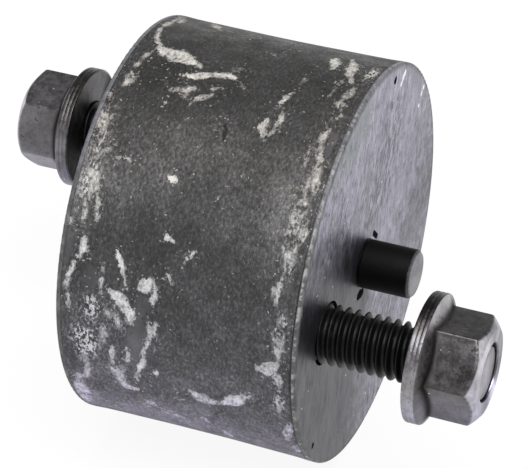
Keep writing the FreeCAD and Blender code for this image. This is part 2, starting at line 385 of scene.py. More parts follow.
# Chalky scuffs on the block's side. Each one is a half width, a strength from 0, a faint grey, to 1,
# a full white, and a path of (x, ring angle in degrees). A strength below 0 makes a black score.
CHALK = (
    (0.6, 0.8, (3, -26.5), (2.5, -17), (2.2, -10), (3.7, -4), (5.5, 0)),
    (1.3, 0.6, (1.2, -29), (3.0, -24), (4.2, -18)),
    (1.0, 0.8, (8.6, -29), (9.8, -26), (11.2, -22), (12.4, -20.5)),
    (2.1, 0.85, (5.4, 0.7), (8.6, 1.9), (12.0, 2.5), (13.8, 3.2)),
    (0.5, 0.8, (13.4, 2.4), (15.0, 4.0), (16.0, 5.8)),
    (0.5, 0.7, (5.0, 0.8), (3.9, 5), (3.4, 11)),
    (1.3, 0.75, (3.3, 12.4), (3.6, 14.8), (3.3, 17.6)),
    (1.1, 1.0, (12.9, 9.7), (15.4, 9.0), (17.4, 7.6), (20, 6.3), (22.9, 6.0)),
    (0.9, 0.8, (12.6, 15.6), (15, 14.6), (18.0, 12.8)),
    (0.5, 0.7, (14.2, 16.6), (16.4, 17.7), (17.4, 19.2)),
    (0.6, 0.85, (17, 17.0), (18.8, 16.2), (20.8, 14.4)),
    (0.4, 0.6, (19, 12.3), (22.8, 10.8)),
    (0.4, 0.8, (24.5, 7.2), (26.1, 9.6)),
    (0.9, 0.3, (21, 2.6), (23.8, 1.8)),
    (0.4, 0.9, (12.2, 20.2), (13.1, 20.2)),
    (0.3, 0.7, (9.4, 12.9), (9.9, 13.1)),
    (0.6, 0.5, (28.8, -12), (30.2, -17)),
    (0.3, 0.6, (26.6, -9.5), (27.6, -9.5)),
    (0.5, 0.35, (10, -24), (14, -21), (20, -19)),
    (1.0, 0.95, (38.2, -16), (38.9, -12), (39.5, -8)),
    (1.1, 0.9, (41.1, -18), (42.4, -14), (43.2, -10), (43.5, -6), (44.8, -2.8)),
    (0.45, 0.6, (43.2, -4), (42.8, 1), (42.4, 6)),
    (1.1, 0.7, (46.2, 0), (45.9, 3), (45.5, 6)),
    (0.35, 0.7, (46.3, 7.9), (45.5, 9.4), (44.6, 7.9), (45.5, 6.3), (46.3, 7.9)),
    (0.5, 0.7, (46.0, 9.5), (46.7, 12.4), (45.8, 14)),
    (0.35, 0.7, (46.0, 15.8), (45.2, 17.3), (44.3, 15.8), (45.2, 14.3), (46.0, 15.8)),
    (0.9, 0.8, (45.5, 18), (45.2, 22), (45.6, 26), (46.6, 28)),
    (1.1, 0.65, (46.0, 27.5), (46.6, 31), (47.2, 37)),
    (0.5, 0.6, (44.2, 22), (43.4, 27), (43.8, 31)),
    (0.7, 0.6, (45.6, 30), (45.4, 36), (45, 41)),
    (2.1, 0.62, (45.2, 37), (45.6, 42), (45.8, 48), (45.6, 54), (45.8, 58)),
    (0.4, 0.9, (47.6, 45), (47.9, 48.6), (47.2, 51), (46.8, 54)),
    (0.35, 0.8, (42.6, 38.2), (44.2, 36.4), (45.6, 35)),
    (0.5, 0.75, (46.4, 54), (45.4, 59), (44.8, 64), (44.4, 70)),
    (0.6, 0.95, (44.9, 65.4), (44.6, 68)),
    (0.3, 0.5, (43.9, 52), (44.6, 60), (43.6, 68)),
    (0.8, 0.6, (46.3, 71), (46.5, 77), (46.1, 83)),
    (0.5, 0.7, (44.6, 75.6), (45.6, 80), (46.6, 84.6)),
    (1.7, 0.9, (42.4, 88.0), (44.4, 87.4), (46.2, 85)),
    (0.9, 0.85, (45.0, 87), (46.2, 89), (46.8, 92.4)),
    (0.35, 0.6, (46.4, 94), (46.6, 99), (46.2, 104)),
    (0.5, 0.6, (43.3, 108.4), (45.4, 110.2)),
    (1.1, 0.85, (48.2, 106.5), (47.6, 110.5), (46.8, 116)),
    (0.6, 0.95, (35.1, 7.0), (34.7, 10), (33.9, 13.4)),
    (0.35, 0.6, (35.9, -1.4), (35.7, 3.6)),
    (0.55, 0.8, (35, 13.8), (35.9, 17), (35.5, 21), (34.4, 25.2)),
    (0.8, 0.8, (34.2, 25), (33.0, 21.4), (33.2, 18.2)),
    (0.35, -1.0, (25.8, 22.6), (26.3, 25), (26.9, 28)),
    (0.3, 0.7, (25.0, 24.6), (25.6, 26.4)),
    (1.5, 0.5, (1.6, 22), (1.9, 29), (1.8, 36), (1.4, 43)),
    (0.4, 0.85, (2.0, 42), (4.2, 39), (6.4, 36.2)),
    (0.45, 0.95, (7.4, 39.2), (9, 39.2), (11.3, 38.8)),
    (0.6, 1.3, (18.2, 41.2), (19.4, 41.6), (20.6, 41.9)),
    (0.3, 1.1, (28.7, 43.6), (29.2, 43.8)),
    (1.1, 0.75, (2.2, 43.6), (4.6, 46.4), (4.2, 51)),
    (0.6, 0.75, (5.4, 50), (6.3, 53), (6.7, 57)),
    (0.5, 0.6, (3.2, 51), (3.9, 55), (3.6, 60)),
    (0.8, 0.9, (0.5, 58.6), (1.9, 58.9)),
    (0.55, 1.2, (20.8, 57.4), (21.8, 56.8)),
    (0.45, 1.2, (22.2, 57.5), (23.0, 58.2)),
    (0.4, 1.1, (26.8, 59.4), (26.1, 61), (25.4, 62.6)),
    (0.3, 0.9, (23.8, 60.1), (24.4, 60.3)),
    (0.4, 0.9, (22.6, 66.9), (23.6, 69.4)),
    (0.9, 0.8, (4.0, 61), (5.0, 64.6), (4.4, 67.5)),
    (0.7, 0.8, (4.0, 67), (3.3, 70.5), (2.3, 76), (2.9, 83)),
    (0.35, 0.7, (9.4, 67.6), (9.3, 76.5)),
    (0.55, 1.0, (11.8, 63.6), (13.2, 67.8), (14.7, 73.4)),
    (1.3, 1.0, (11.4, 75.4), (13.6, 77.6), (15.6, 80.4), (15.4, 83.6)),
    (0.5, 0.85, (12.2, 79), (12.8, 83), (13.4, 86.6)),
    (0.9, 0.8, (10.4, 81), (11.6, 83.2)),
    (1.2, 0.95, (17, 72.8), (18.6, 71.4), (19.8, 69.4)),
    (0.7, 0.9, (19.8, 68.8), (20.4, 72.4), (20.3, 77)),
    (0.5, 0.8, (20.2, 78), (20.8, 81), (20.9, 85.4)),
    (0.55, 0.85, (19.4, 80), (19.9, 86), (18.9, 92)),
    (0.75, 0.9, (18.7, 91), (17.8, 97), (16.4, 102.6)),
    (0.5, 0.9, (15.9, 102.6), (16.6, 104.4), (18.6, 103.9)),
    (0.35, 0.4, (21.4, 84), (20.9, 90), (19.6, 98)),
    (0.8, 1.2, (20.3, 98.8), (21.3, 98.8)),
    (1.0, 0.55, (9.8, 86), (10.4, 89), (9.4, 93)),
    (0.6, 0.9, (11.9, 92.6), (11.6, 96), (11.7, 100.2)),
    (0.55, 0.95, (14.7, 92.0), (15.1, 95.2), (14.2, 99.6)),
    (1.0, 1.0, (11.0, 101.4), (12.8, 104.4), (13.0, 108.2)),
    (0.9, 1.0, (12.6, 108.2), (14.2, 108.9), (16.2, 108.4)),
    (0.9, 0.9, (5.2, 98), (5.8, 102), (5.6, 107), (4.4, 109)),
    (1.9, 0.85, (3.4, 109), (2.7, 114), (2.4, 120), (2.2, 127)),
    (1.0, 0.6, (15.4, 111.6), (17.6, 114.8), (19, 117), (20.8, 121)),
    (1.4, 0.5, (16.2, 117.2), (18.2, 118)),
    (0.8, 0.55, (21.0, 121.6), (23.0, 119.8), (25.8, 119.6)),
    (0.6, 0.4, (11.6, 116.8), (16.2, 115.6)),
    (0.7, 0.5, (8.2, 126), (9.8, 120.4)),
    (1.4, 0.75, (27.7, 103.2), (29.7, 105.2), (33.4, 105.7)),
    (1.4, 1.0, (34.6, 104.8), (37, 102.4), (40.3, 99.4)),
    (0.25, -1.0, (36.0, 103.4), (37.6, 100.6)),
    (0.35, 0.4, (17, 108.8), (21, 108.4), (26.2, 107.6)),
    (1.1, 0.75, (28.2, 115.6), (29.6, 118.6)),
    (0.5, 0.35, (31.4, 107), (31.6, 113), (30.4, 119)),
    (0.9, 0.8, (32.3, 123), (33.4, 127)),
    (1.0, 0.6, (48.6, 118), (48.0, 124)),
)
# Soft patches, paler or darker: rub, and painted light, chiefly a painted sheen round 40 degrees from
# the top, a painted reflection at the plain end's rim and a painted lilac reflection low down. Each is
# x, ring angle, half length along x, half width round and strength.
RUB_AND_PAINTED_LIGHT = (
    (32, 40, 14, 16, 0.5),
    (43, 42, 3.8, 11, 1.1),
    (16, 30, 10, 7, 0.6),
    (2, 42, 2.6, 13, 1.7),
    (9, 43, 9, 8, 0.8),
    (2.5, 55, 2.5, 7, 0.8),
    (9, 95, 7, 14, 1.0),
    (46, 60, 4, 30, 0.4),
    (34, 96, 12, 10, 0.9),
    (25, 124, 34, 17, 1.9),
    (3, 120, 2.6, 9, 1.8),
    (20, 118, 6, 6, 0.6),
    (25, -24, 34, 8, 0.8),
    (38, -4, 11, 16, -0.9),
    (22, 14, 9, 10, -0.6),
    (14, -10, 12, 10, -0.4),
    (8, 11, 5, 13, -1.2),
    (7, 26, 3.4, 6, -0.3),
    (13, 14, 4, 10, -0.5),
    (12, 59, 8, 8, -0.5),
    (6, 72, 4, 6, -0.7),
    (28, 59, 9, 8, -0.4),
)
# Places where the chalk is broken into crumbs, written as the patches above.
CRUMBS = (
    (6.0, 93.5, 3.2, 6.5, 1.15),
    (7.4, 81, 2.6, 4.2, 0.85),
    (12.4, 104, 2.4, 6, 0.7),
    (13.4, 84, 3.0, 5, 0.5),
    (3.0, 34, 2.4, 12, 0.6),
    (3.6, 48, 2.6, 6, 0.7),
    (3.4, 114, 2.2, 10, 0.5),
    (47.4, -9, 1.3, 6, 0.9),
    (46.4, 33, 1.6, 6, 0.6),
    (46.6, 58, 1.4, 4, 0.6),
    (46.4, 76, 1.6, 7, 0.9),
    (46.6, 98, 1.4, 7, 0.8),
    (14.0, 14, 6.0, 5, 0.3),
    (25.0, 62, 4.0, 5, 0.3),
)
# Smooth flakes that lie bare of grain: x, ring angle, half length along x, half width round.
FLAKES = (
    (17.2, 91, 2.6, 10),
    (17.8, 77.6, 1.7, 3.2),
    (47.3, 43.5, 0.9, 3.6),
    (46.9, 61.5, 0.9, 3.0),
    (47.2, 22, 0.9, 4.5),
    (1.4, 65, 1.6, 5),
    (7.0, 73, 1.6, 4),
    (30, 111, 2.2, 4),
)
FAR_SCUFF_SEED = 41
FAR_SCUFFS = 46
FAR_SIDE = (140, 325)


def far_scuffs():
    """Seeded scuffs for the rest of the ring: short paths at chance places, mostly near the rims."""
    chance = np.random.default_rng(FAR_SCUFF_SEED)
    strokes = []
    for _ in range(FAR_SCUFFS):
        near_rim = chance.random() < 0.6
        x = chance.choice([4.0, 45.5]) + chance.normal(0, 1.2) if near_rim else chance.uniform(8, 42)
        angle = chance.uniform(*FAR_SIDE)
        steps = chance.normal(0, 1, (chance.integers(1, 5), 2)) * (1.8, 3.5)
        path = np.cumsum(np.vstack([[x, angle], steps]), axis=0)
        path[:, 0] = np.clip(path[:, 0], 2, 48)
        strokes.append((chance.uniform(0.35, 1.0), chance.uniform(0.4, 0.9), *map(tuple, path)))
    return tuple(strokes)


def far_patches(seed, count, strongest):
    """Seeded soft patches for the rest of the ring."""
    chance = np.random.default_rng(seed)
    return tuple((chance.uniform(3, 47), chance.uniform(*FAR_SIDE), chance.uniform(2, 9),
                  chance.uniform(5, 18), chance.uniform(-0.6, 1) * strongest) for _ in range(count))


def round_from(angles, angle):
    """Turn in radians from an angle in degrees, the short way round."""
    return np.remainder(angles - math.radians(angle) + math.pi, FULL_TURN) - math.pi


def stroke_fields(x, angles, strokes):
    """Gap and strength of the strokes on the unrolled side, in millimetres and from 0 to 1.

    The gap is the distance to the nearest straight run of a path less the half width there, so it is
    less than 0 inside a stroke. The half width is w * (0.4 + 0.6 * sin(pi * s)), where s is the share
    of the path's length. The strength is the nearest stroke's.
    """
    gap = np.full(np.broadcast(x, angles).shape, 9.0)
    strength = np.zeros(gap.shape)
    for half_width, tone, *path in strokes:
        places = np.array(path) * (1, math.radians(1) * BLOCK_RADIUS)
        runs = np.hypot(*np.diff(places, axis=0).T)
        before = np.concatenate([[0], np.cumsum(runs)])
        for (x1, angle1), (x2, angle2), run, start in zip(path, path[1:], runs, before):
            run_x = x2 - x1
            run_y = math.radians(angle2 - angle1) * BLOCK_RADIUS
            across = round_from(angles, angle1) * BLOCK_RADIUS
            along = np.clip(((x - x1) * run_x + across * run_y) / run**2, 0, 1)
            distance = np.hypot(x - x1 - along * run_x, across - along * run_y)
            share = (start + along * run) / before[-1]
            here = distance - half_width * (0.4 + 0.6 * np.sin(math.pi * share))
            strength = np.where(here < gap, tone, strength)
            gap = np.minimum(gap, here)
    return gap, strength


def patch_sum(x, angles, patches):
    """Sum of soft round patches, each strength * e^-((dx/a)^2 + (dy/b)^2) on the unrolled side."""
    total = np.zeros(np.broadcast(x, angles).shape)
    for centre, angle, half_length, half_width, strength in patches:
        along = (x - centre) / half_length
        across = np.degrees(round_from(angles, angle)) / half_width
        total += strength * np.exp(-along**2 - across**2)
    return total


def flake_gap(x, angles):
    """Distance in millimetres, about, to the nearest flake's edge, less than 0 on the flake: the
    flake's elliptical radius less 1, times its smaller half size."""
    gap = np.full(np.broadcast(x, angles).shape, 9.0)
    for centre, angle, half_length, half_width in FLAKES:
        half_round = math.radians(half_width) * BLOCK_RADIUS
        across = round_from(angles, angle) * BLOCK_RADIUS / half_round
        edge = (np.hypot((x - centre) / half_length, across) - 1) * min(half_length, half_round)
        gap = np.minimum(gap, edge)
    return gap


def waves(x, angles, seed):
    """A gentle unevenness from -1 to 1: the mean of cosines of chance direction on the side."""
    chance = np.random.default_rng(seed)
    total = 0
    for _ in range(WAVES):
        lengthwise = chance.uniform(-0.5, 0.5)
        turns = chance.integers(2, 22)
        total = total + np.cos(lengthwise * x + turns * angles + chance.uniform(0, FULL_TURN))
    return total / WAVES


def make_rubber_block(finish):
    """The rubber block: one skin from the bottom of one stud-head pocket to that of the other.

    Its side at x and angle a is R - waist * (1 - t^2) - unevenness - groove, where t runs from -1 to
    1 between the seams, and the groove is at the pinned end's seam, shallower towards the top. Each
    end is a flat ring that grows evenly from the pocket's circle to the block's, with a 45 degree lip
    round it that fills the chamfer of the plate's back.
    """
    angles = np.arange(RUBBER_COLUMNS) / RUBBER_COLUMNS * FULL_TURN
    y_way, z_way = ring_directions(angles)
    lip = PLATE_BACK_CHAMFER
    low, high = PLATE_THICKNESS, BLOCK_LENGTH - PLATE_THICKNESS
    edge = BLOCK_RADIUS - lip
    share = np.linspace(0, 1, ANNULUS_ROWS)

    pocket_x = np.array([low + STUD_HEAD_THICKNESS])
    end_x = np.concatenate([pocket_x, np.full(ANNULUS_ROWS, low)])
    end_radius = np.concatenate([[STUD_HEAD_RADIUS],
                                 STUD_HEAD_RADIUS + share * (edge - STUD_HEAD_RADIUS)])
    end_shift = np.concatenate([[1], 1 - share])

    side_x = spaced((low - lip, 6), (low, SIDE_ROWS), (high, 10), (high + lip, 0))
    middle = (low + high) / 2
    reach = (high - low) / 2 + lip
    lip_share = (side_x - middle) / reach
    side_radius = BLOCK_RADIUS - RUBBER_WAIST * (1 - lip_share**2)

    x = np.concatenate([end_x, side_x, BLOCK_LENGTH - end_x[::-1]])[:, None]
    radius = np.concatenate([end_radius, side_radius, end_radius[::-1]])[:, None]
    shift = np.concatenate([end_shift * PLAIN_END.stud_y, np.zeros(len(side_x)),
                            end_shift[::-1] * PINNED_END.stud_y])[:, None]
    on_side = np.concatenate([np.zeros(len(end_x)), np.ones(len(side_x)),
                              np.zeros(len(end_x))])[:, None]
    free = smooth_step(np.abs(x - middle), reach, reach - EVEN_MARGIN) * on_side
    dent = SIDE_UNEVENNESS * 0.5 * (1 - waves(x, angles, seed=5)) * free
    groove = SEAM_GROOVE * bell(x, middle + reach, SEAM_GROOVE_WIDTH) * on_side
    groove = groove * (1 - 0.7 * smooth_step(np.cos(angles), 0.2, 0.85))
    radius = radius - dent - groove
    gap, strength = stroke_fields(x, angles, CHALK + far_scuffs())
    # Patches of rub and of painted sheen and reflection.
    haze = patch_sum(x, angles, RUB_AND_PAINTED_LIGHT + far_patches(seed=8, count=22, strongest=0.9))
    crumbs = patch_sum(x, angles, CRUMBS + far_patches(seed=9, count=9, strongest=0.7))
    piece = grid_mesh("rubber_block_skin", x, shift + radius * y_way, radius * z_way, attributes={
        "chalk_gap": gap, "chalk_strength": strength, "haze": haze * on_side,
        "crumbs": crumbs * on_side, "flake_gap": flake_gap(x, angles)})
    add_piece(piece, "rubber_block", finish)


# ---------------------------------------------------------------- studs and nuts

THREAD_COLUMNS = 96
NUT_COLUMNS = 240
# Turned grooves round the rim of a nut's flange, and ridge lines on it that get a painted highlight:
# millimetres above its seat, width.
NUT_GROOVES = ((0.9, 0.12), (1.75, 0.12))
NUT_GROOVE_DEPTH = 0.12
NUT_RIDGE_HIGHLIGHTS = ((1.32, 0.22), (2.25, 0.25))
# Middles, in degrees from the top, of the part of the flange with a painted dark rim and a painted
# pale cone, and of the part whose rim gets a painted highlight.
FLANGE_TOP = -8
FLANGE_SIDE = 84
# Painted light and shade round the nut's turned end and bore, as how much paler it is: degrees from
# the top, then the change.
NUT_END_PAINTED_LIGHT = (
    (-180, -0.24),
    (-163, 0.06),
    (-147, 0.12),
    (-130, -0.30),
    (-108, -0.30),
    (-88, -0.16),
    (-55, -0.14),
    (-36, 0.0),
    (-22, -0.22),
    (-4, -0.04),
    (15, 0.12),
    (42, 0.10),
    (65, 0.0),
    (125, -0.04),
    (155, -0.14),
    (180, -0.24),
)
# Soil on the nut's flats: degrees from the top, millimetres below the end, reach and strength.
NUT_SOIL = (
    (55, 2.0, 2.2, 0.7),
    (74, 3.4, 1.8, 0.45),
    (88, 6.4, 1.8, 0.4),
)


def end_points(end, x, radius, angles):
    """Carry lathe points of an end's own frame into the model's; the plain end is turned half round
    z. x = 0 is the plate's inner face and +x points out of the block."""
    y_way, z_way = ring_directions(angles)
    return (end.plate_inner + end.sign * x, end.stud_y + end.sign * radius * y_way, radius * z_way)


def thread_radius(x, angles, crest_radius):
    """Radius of a right-hand thread: crest - depth * c, where c ramps from 0 on the crest's flat, an
    eighth of the pitch wide, to 1 on the root's flat, a quarter of the pitch wide. The softness eats
    into both flats, as a share of the pitch."""
    turns = x / THREAD_PITCH - angles / FULL_TURN - THREAD_START
    from_crest = np.abs(np.remainder(turns + 0.5, 1) - 0.5)
    ramp = smooth_step(from_crest, 1 / 16 - THREAD_SOFTNESS, 1 / 2 - 1 / 8 + THREAD_SOFTNESS)
    return crest_radius - THREAD_DEPTH * ramp


def make_stud(end, finish):
    """A threaded stud: a flat round head, a plain neck inside the plate, the thread's helix with its
    crests cut to a 45 degree point, and a flat end."""
    length = abs(end.stud_top - end.plate_inner)
    angles = np.arange(THREAD_COLUMNS) / THREAD_COLUMNS * FULL_TURN
    head_x = np.array([-STUD_HEAD_THICKNESS, -STUD_HEAD_THICKNESS, -STUD_HEAD_CHAMFER, 0, 0])
    head_face = STUD_HEAD_RADIUS - STUD_HEAD_CHAMFER
    head_radius = np.array([head_face, STUD_HEAD_RADIUS, STUD_HEAD_RADIUS, head_face, STUD_RADIUS])
    neck_x = PLATE_THICKNESS / 2
    screw_x = spaced((neck_x, round((length - neck_x) / THREAD_STEP)), (length, 0))[:, None]
    thread = thread_radius(screw_x, angles, STUD_RADIUS)
    begin = smooth_step(screw_x, neck_x, neck_x + THREAD_RUN_IN)
    thread = STUD_RADIUS + (thread - STUD_RADIUS) * begin
    point = STUD_RADIUS - STUD_POINT_CHAMFER + (length - screw_x)
    screw_radius = soft_min(thread, point, THREAD_END_ROUNDING)
    x = np.concatenate([head_x, screw_x[:, 0]])[:, None]
    head = np.broadcast_to(head_radius[:, None], (len(head_x), THREAD_COLUMNS))
    radius = np.concatenate([head, screw_radius])
    piece = grid_mesh(f"{end.name}_end_stud_screw", *end_points(end, x, radius, angles))
    add_piece(piece, f"{end.name}_end_stud", finish)


def make_nut(end, finish):
    """A hexagon flange nut. The outside is the larger of the flange (a cylinder, then a cone) and the
    hexagon, AF/2 / cos(angle from a flat's middle), which a cone cuts at the crown. The inside is the
    stud's thread a little larger, with a small countersink at both ends. The mesh carries where edges
    are worn and get a painted highlight, where painted shade falls in the inner corner at the flange,
    deep in the bore and on the seat, where flats are soiled and the end is turned, and the painted
    light and shade that make the steel paler or darker round the flange and the end."""
    seat = abs(end.nut_seat - end.plate_inner)
    height = abs(end.nut_top - end.nut_seat)
    per_flat = NUT_COLUMNS // 6
    sector = np.repeat(np.arange(6), per_flat)
    share = np.tile(np.arange(per_flat) / per_flat * 2 - 1, 6)
    from_flat = math.radians(30) * np.sin(share * math.pi / 2)
    angles = end.turn + math.radians(60) * (sector + 0.5) + from_flat

    out_x = spaced((0, 6), (0.5, 22), (NUT_RIM_HEIGHT, 16), (NUT_RIM_HEIGHT + NUT_CONE_RISE, 14),
                   (height - 4, 36), (height, 0))[:, None]
    flat = NUT_ACROSS_FLATS / 2
    next_flat = math.radians(60) - np.abs(from_flat)
    hexagon = soft_min(flat / np.cos(from_flat), flat / np.cos(next_flat), NUT_CORNER_ROUNDING)
    crown = NUT_CROWN_RADIUS + (height - out_x) / NUT_CROWN_SLOPE
    body = soft_min(hexagon, crown, NUT_CROWN_ROUNDING)
    cone = end.flange_radius + (NUT_RIM_HEIGHT - out_x) * (
        (end.flange_radius - NUT_CONE_TOP_RADIUS) / NUT_CONE_RISE)
    flange = soft_min(end.flange_radius, cone, NUT_FILLET)
    grooves = NUT_GROOVE_DEPTH * sum(bell(out_x, place, width) for place, width in NUT_GROOVES)
    from_foot = np.clip(1 - out_x / NUT_FOOT_ROUNDING, 0, 1)
    foot_round = NUT_FOOT_ROUNDING * (1 - np.sqrt(1 - from_foot**2))
    outside = soft_max(body, flange, NUT_FILLET) - grooves - foot_round

    on_hexagon = smooth_step(body - flange, -0.1, 0.5)
    at_corner = bell(np.abs(from_flat), math.radians(30), math.radians(1.6))
    at_crown = bell(hexagon, crown, 0.22)
    # Painted highlights with edge wear: bright bands on the rim's ridge lines, and paler lines on the
    # hexagon's corners and round the crown's edge.
    ridge_highlights = 0.35 * sum(bell(out_x, place, width) for place, width in NUT_RIDGE_HIGHLIGHTS)
    edge = np.maximum(0.15 * at_corner * on_hexagon * smooth_step(crown - hexagon, -0.3, 0.1),
                      at_crown * on_hexagon) + ridge_highlights * np.ones_like(angles)
    # Painted shade in the inner corner where the hexagon meets the flange.
    crease = bell(body, flange, 1.1) * smooth_step(out_x, 2.4, 3.2)
    turned = smooth_step(hexagon - crown, 0, 0.3)

    in_x = spaced((height, 16), (height - NUT_MOUTH_SPAN, 90), (NUT_MOUTH_SPAN, 16),
                  (0, 0))[:, None]
    thread = thread_radius(in_x + seat, angles, STUD_RADIUS + NUT_THREAD_CLEARANCE)
    sink = NUT_MOUTH_RADIUS - np.minimum(in_x, height - in_x) * NUT_COUNTERSINK_SLOPE
    inside = soft_max(thread, sink, NUT_THREAD_ROUNDING)

    mouth = NUT_MOUTH_RADIUS + NUT_FACE_MARGIN
    crown_x = np.array([[height], [height]])
    crown_ring = np.array([[NUT_CROWN_RADIUS - NUT_END_MARGIN], [mouth]])
    seat_x = np.zeros((4, 1))
    seat_ring = np.array([[mouth], [NUT_MOUTH_RADIUS + NUT_FACE_MARGIN * 2],
                          *([end.flange_radius - margin] for margin in NUT_SEAT_MARGINS)])
    x = np.concatenate([out_x, crown_x, in_x, seat_x])
    columns = len(angles)
    radius = np.concatenate([outside, np.broadcast_to(crown_ring, (2, columns)), inside,
                             np.broadcast_to(seat_ring, (4, columns))])
    bare = np.zeros((len(radius) - len(outside), columns))
    # Painted shade deep in the bore, and on the seat under the flange, lighter on the seat's upper
    # part.
    shade_in_bore = smooth_step(height - in_x, 0.15, 0.6) * np.ones_like(angles)
    shade_on_seat = (0.9 - 0.5 * smooth_step(np.cos(angles), 0.45, 0.75)) * np.ones((4, 1))
    inner_shade = np.concatenate([np.zeros((2, columns)), shade_in_bore, shade_on_seat])
    inner_turned = bare + 1 - (inner_shade > 0.3)
    from_top = np.degrees(np.arctan2(np.sin(angles), np.cos(angles)))
    end_painted_light = np.interp(from_top, *np.array(NUT_END_PAINTED_LIGHT).T)
    near_top = smooth_step(np.abs(from_top - FLANGE_TOP), 46, 22)
    near_side = smooth_step(np.abs(from_top - FLANGE_SIDE), 56, 26)
    on_cone = smooth_step(out_x, NUT_RIM_HEIGHT - 0.05, NUT_RIM_HEIGHT + 0.1) * (1 - on_hexagon)
    on_rim = smooth_step(out_x, NUT_RIM_HEIGHT + 0.05, NUT_RIM_HEIGHT - 0.1)
    # Painted light and shade: the end paler or darker round the bore, the cone paler and the rim
    # darker near the top, and a painted highlight on the rim at the side.
    tone = (end_painted_light * turned + near_top * (0.38 * on_cone - 0.34 * on_rim)
            + near_side * 0.26 * on_rim)
    soil = sum(strength * bell(math.radians(1) * flat * from_top, math.radians(place) * flat, reach)
               * bell(height - out_x, below, reach) for place, below, reach, strength in NUT_SOIL)
    piece = grid_mesh(f"{end.name}_end_flange_nut", *end_points(end, x + seat, radius, angles),
                      closed=True, attributes={
                          "edge": np.concatenate([edge, bare]),
                          "crease": np.concatenate([crease, inner_shade]),
                          "soil": np.concatenate([soil * on_hexagon * (1 - turned), bare]),
                          "tone": np.concatenate([tone, bare + end_painted_light]),
                          "turned": np.concatenate([turned, inner_turned])})
    add_piece(piece, f"{end.name}_end_nut", finish)


# ---------------------------------------------------------------- locating pin

PIN_COLUMNS = 96


def make_locating_pin(finish):
    """The locating pin: a half section of straight and 45 degree runs, with rounded shoulders."""
    low, high = box_mm("locating_pin")
    axis_y, axis_z = (low[1] + high[1]) / 2, (low[2] + high[2]) / 2
    seat_radius = (high[2] - low[2]) / 2
    radius = seat_radius - PIN_SEAT_MARGIN
    neck = radius - PIN_NECK_DEPTH
    face = BLOCK_LENGTH
    wall = face + PIN_NECK_WIDTH
    seat = face - (seat_radius - PIN_SHANK_RADIUS)
    point = high[0] - PIN_POINT_CHAMFER
    tip = radius - PIN_POINT_CHAMFER
    section = np.array([
        (low[0], PIN_SHANK_RADIUS), (seat, PIN_SHANK_RADIUS), (face - 0.02, seat_radius - 0.02),
        (face, seat_radius - 0.05), (face, neck), (wall, neck), (wall, radius - 0.08),
        (wall + 0.08, radius), (point - 0.15, radius), (point, radius - 0.04),
        (point + 0.1, radius - 0.12), (high[0] - 0.12, tip + 0.1), (high[0] - 0.03, tip),
        (high[0], tip - 0.15), (high[0], tip * 0.5)])
    run = np.concatenate([[0], np.cumsum(np.hypot(*np.diff(section, axis=0).T))])
    fine = np.union1d(run, np.arange(0, run[-1], 0.25))
    x = np.interp(fine, run, section[:, 0])[:, None]
    ring = np.interp(fine, run, section[:, 1])[:, None]
    y_way, z_way = ring_directions(np.arange(PIN_COLUMNS) / PIN_COLUMNS * FULL_TURN)
    piece = grid_mesh("locating_pin_turned", x, axis_y + ring * y_way, axis_z + ring * z_way)
    add_piece(piece, "locating_pin", finish)


# ---------------------------------------------------------------- finishes

# Marks on the plates' outer faces: y, z, reach and strength.
PLATE_NICKS = (
    (17.2, 32.6, 1.0, 1),
    (18.4, 33.5, 1.4, 1),
    (19.6, 34.0, 1.2, 1),
    (29.3, 20.2, 1.2, 1),
    (30.8, 22.2, 1.1, 1),
    (32.0, 23.0, 1.2, 1),
)
# Black marks, two of them ticks at the pin's foot: y, z, reach and strength.
PLATE_BLACK_MARKS = (
    (13.4, 35.7, 1.5, 1),
    (2.9, 5.6, 1.2, 1),
    (3.8, 4.7, 1.2, 1),
    (4.7, 3.8, 1.1, 1),
    (-5.9, -4.1, 1.5, 1),
    (-4.8, -4.3, 1.8, 1),
    (-3.5, -4.7, 1.4, 1),
    (-31.0, -23.3, 1.1, 1),
)
# Dark patches round the pin and the stud and towards -y, grime with painted shadow and reflection: y,
# z, reach and strength.
PLATE_SOIL_AND_PAINTED_SHADE = (
    (-36, 6, 30, 1),
    (-11, -3, 18, 1.9),
    (-24, -24, 38, 0.95),
    (38, -2, 34, 0.5),
    (-14, 12, 22, 0.35),
)
PLATE_PATINA = (
    (-14, 35, 12, 1),
    (-5, 39, 11, 1),
)
# Spans over which a coat changes, in millimetres short of an edge: where the block's coat laps over a
# plate's rim, and where a stud's or the pin's coat wears thin and then ends.
RIM_LAP = (1.4, 0.15)
COAT_THINS = (0.75, 0.45)
COAT_ENDS = (0.3, 0.1)


